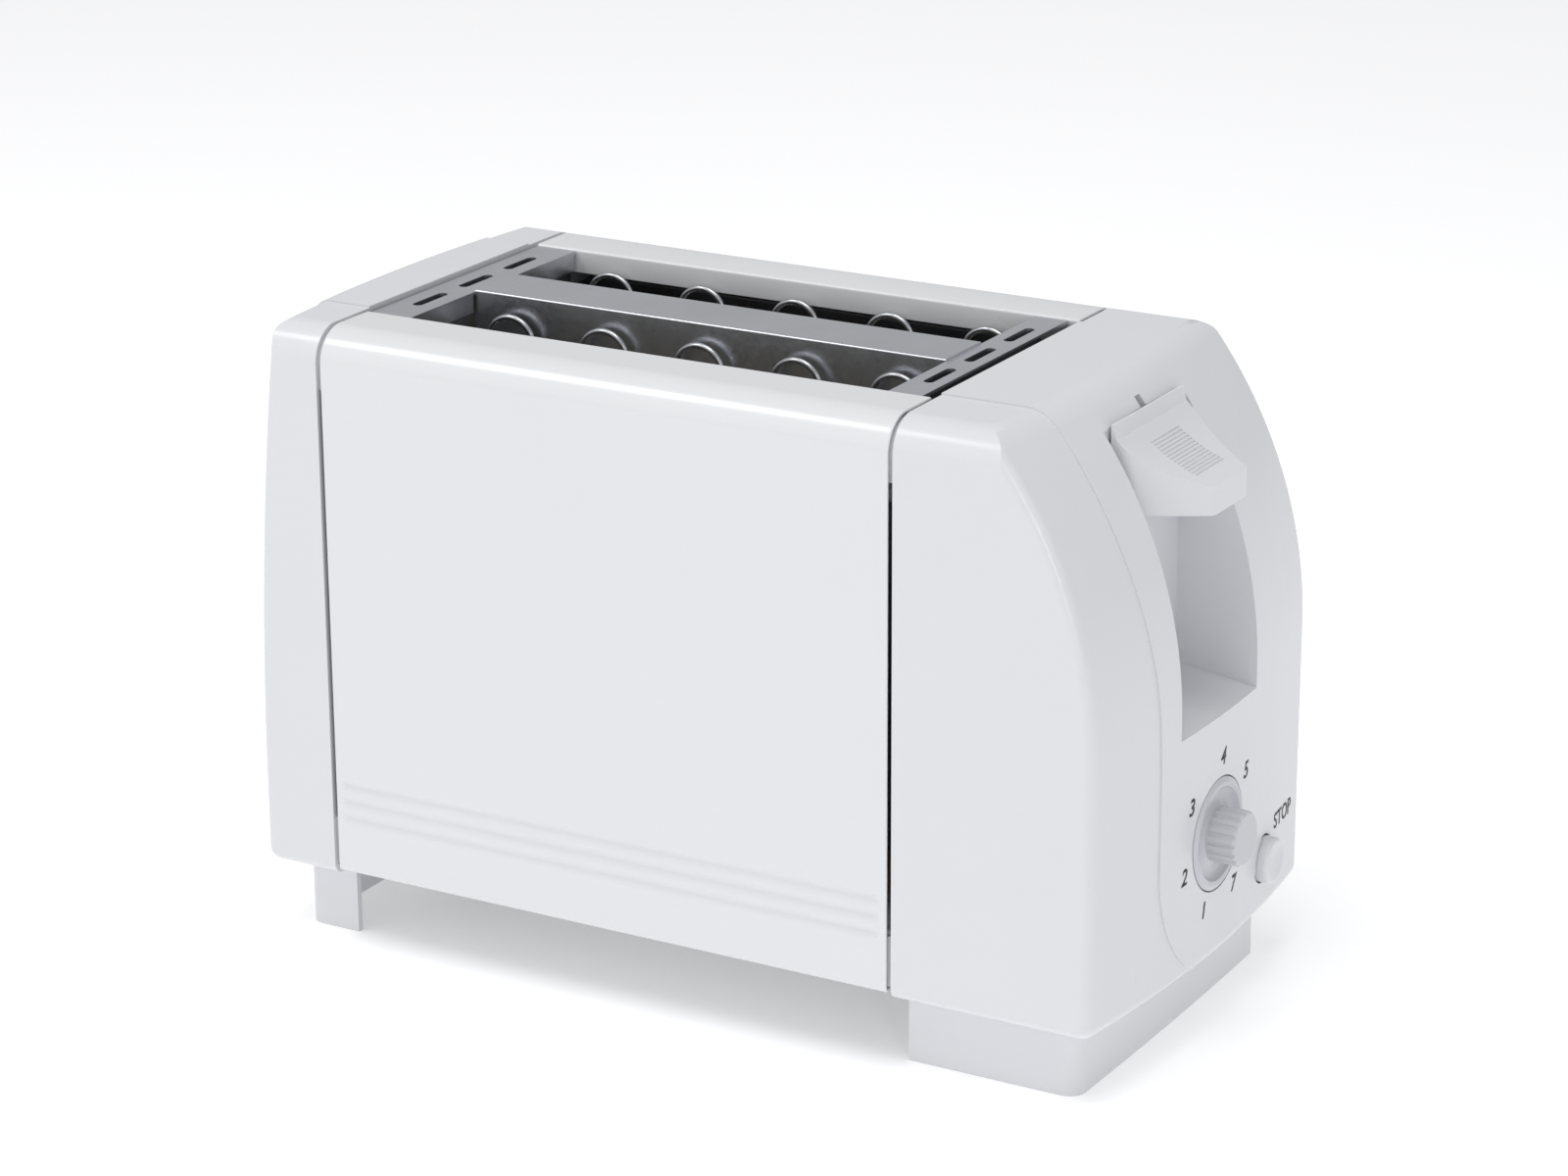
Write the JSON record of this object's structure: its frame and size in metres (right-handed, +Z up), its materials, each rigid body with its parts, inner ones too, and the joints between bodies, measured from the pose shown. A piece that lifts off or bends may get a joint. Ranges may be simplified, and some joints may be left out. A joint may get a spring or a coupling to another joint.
{
  "type": "pop-up toaster",
  "caption": "Two-slice pop-up toaster with white moulded end caps, enamelled steel sides, a sliding lever, a browning dial and a stop button.",
  "frame": {"origin": "centre of the footprint box on the table plane, under the middle of the toaster's length and width", "axes": "+X along the toaster towards the lever and dial end, +Y across it towards the rear panel, +Z up"},
  "size_m": [0.28, 0.134, 0.182],
  "materials": {
    "white_plastic": "moulded white plastic, satin gloss",
    "white_paint": "baked white enamel on sheet steel",
    "steel_trim": "bare rolled sheet steel",
    "frame_steel": "aluminised sheet steel",
    "wire_steel": "bright drawn steel wire",
    "magnet_iron": "soft iron, ground faces",
    "copper_winding": "enamelled copper wire",
    "mica": "mica sheet",
    "heating_ribbon": "resistance ribbon, heat darkened",
    "circuit_board": "laminate board",
    "component_body": "moulded black",
    "contact_brass": "spring brass",
    "zinc_screws": "zinc plated",
    "black_rubber": "moulded rubber"
  },
  "bodies": {
    "housing": {"board_components": "component_body", "board_screws": "zinc_screws", "bottom_plate": "frame_steel", "centre_heater_card": "mica", "centre_heater_ribbons": "heating_ribbon", "contact_block": "component_body", "contact_leaves": "contact_brass", "control_board": "circuit_board", "cord_gland": "black_rubber", "crumb_door_pin": "wire_steel", "front_heat_shield": "frame_steel", "front_heater_card": "mica", "front_heater_ribbons": "heating_ribbon", "front_side_panel": "white_paint", "guide_rod": "wire_steel", "left_base": "white_plastic", "left_base_screws": "zinc_screws", "left_bulkhead": "frame_steel", "left_cap_screws": "zinc_screws", "left_end_cap": "white_plastic", "lift_frame": "frame_steel", "lift_spring": "wire_steel", "magnet_coil": "copper_winding", "magnet_core": "magnet_iron", "potentiometer": "component_body", "rear_heat_shield": "frame_steel", "rear_heater_card": "mica", "rear_heater_ribbons": "heating_ribbon", "rear_side_panel": "white_paint", "right_base": "white_plastic", "right_base_screws": "zinc_screws", "right_bulkhead": "frame_steel", "right_cap_screws": "zinc_screws", "right_end_cap": "white_plastic", "slot_divider": "steel_trim", "stop_switch": "component_body", "top_plate": "steel_trim"},
    "carriage": {"carriage": "frame_steel", "lever_arm": "frame_steel", "catch_plate": "magnet_iron", "lever_knob": "white_plastic", "front_bread_rack": "frame_steel", "rear_bread_rack": "frame_steel", "contact_pusher": "component_body"},
    "rear_inner_guard": {"rear_inner_guard": "wire_steel"},
    "rear_outer_guard": {"rear_outer_guard": "wire_steel"},
    "front_inner_guard": {"front_inner_guard": "wire_steel"},
    "front_outer_guard": {"front_outer_guard": "wire_steel"},
    "dial": {"browning_dial": "white_plastic", "dial_shaft": "wire_steel"},
    "stop_button": {"stop_button": "white_plastic"},
    "crumb_door": {"crumb_door": "frame_steel"}
  },
  "joints": [
    {"name": "lever_slide", "type": "slide", "parent": "housing", "child": "carriage", "axis": [0, 0, 1], "range_m": [-0.053, 0], "stiffness_N_per_m": 150, "springref_m": 0.02, "deforming": ["lift_spring"]},
    {"name": "rear_inner_guard_tilt", "type": "hinge", "parent": "housing", "child": "rear_inner_guard", "pos_m": [-0.0215, 0.013, 0.048], "axis": [1, 0, 0], "range_deg": [-3, 0]},
    {"name": "rear_outer_guard_tilt", "type": "hinge", "parent": "housing", "child": "rear_outer_guard", "pos_m": [-0.0215, 0.0402, 0.048], "axis": [1, 0, 0], "range_deg": [0, 3]},
    {"name": "front_inner_guard_tilt", "type": "hinge", "parent": "housing", "child": "front_inner_guard", "pos_m": [-0.0215, -0.013, 0.048], "axis": [1, 0, 0], "range_deg": [0, 3]},
    {"name": "front_outer_guard_tilt", "type": "hinge", "parent": "housing", "child": "front_outer_guard", "pos_m": [-0.0215, -0.0402, 0.048], "axis": [1, 0, 0], "range_deg": [-3, 0]},
    {"name": "dial_turn", "type": "hinge", "parent": "housing", "child": "dial", "pos_m": [0.1318, 0, 0.0577], "axis": [1, 0, 0], "range_deg": [-150, 150]},
    {"name": "stop_press", "type": "slide", "parent": "housing", "child": "stop_button", "axis": [-1, 0, 0], "range_m": [0, 0.0015], "stiffness_N_per_m": 300, "springref_m": -0.002},
    {"name": "crumb_door_swing", "type": "hinge", "parent": "housing", "child": "crumb_door", "pos_m": [-0.0215, 0.043, 0.0223], "axis": [1, 0, 0], "range_deg": [0, 95]}
  ],
  "couplings": [
    {"joint": "rear_inner_guard_tilt", "follows": "lever_slide", "rad_per_m": 0.985},
    {"joint": "rear_outer_guard_tilt", "follows": "lever_slide", "rad_per_m": -0.985},
    {"joint": "front_inner_guard_tilt", "follows": "lever_slide", "rad_per_m": -0.985},
    {"joint": "front_outer_guard_tilt", "follows": "lever_slide", "rad_per_m": 0.985}
  ]
}
